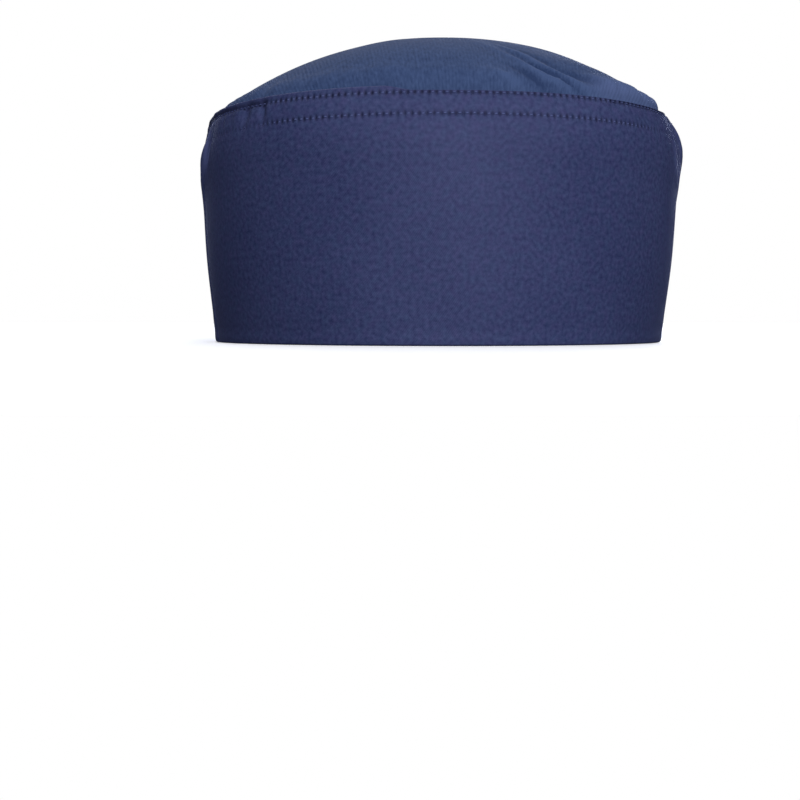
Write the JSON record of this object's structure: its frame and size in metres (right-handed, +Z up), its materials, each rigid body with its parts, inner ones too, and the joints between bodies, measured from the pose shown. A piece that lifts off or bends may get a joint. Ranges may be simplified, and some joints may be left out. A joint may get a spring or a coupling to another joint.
{
  "type": "chef hat",
  "caption": "Brimless pillbox chef's skull cap with a tall stiff front panel, a plain back panel and a soft domed crown, open below for the head.",
  "frame": {"origin": "middle of the rim, on the surface the hat rests on", "axes": "+Z up through the crown, -Y to the front of the hat, +X to the wearer's left"},
  "size_m": [0.179, 0.2132, 0.109],
  "materials": {
    "band_twill": "matt navy twill",
    "crown_cloth": "soft blue ribbed cloth"
  },
  "bodies": {
    "root": {"front_panel": "band_twill", "back_panel": "band_twill", "crown_top": "crown_cloth"}
  },
  "joints": []
}
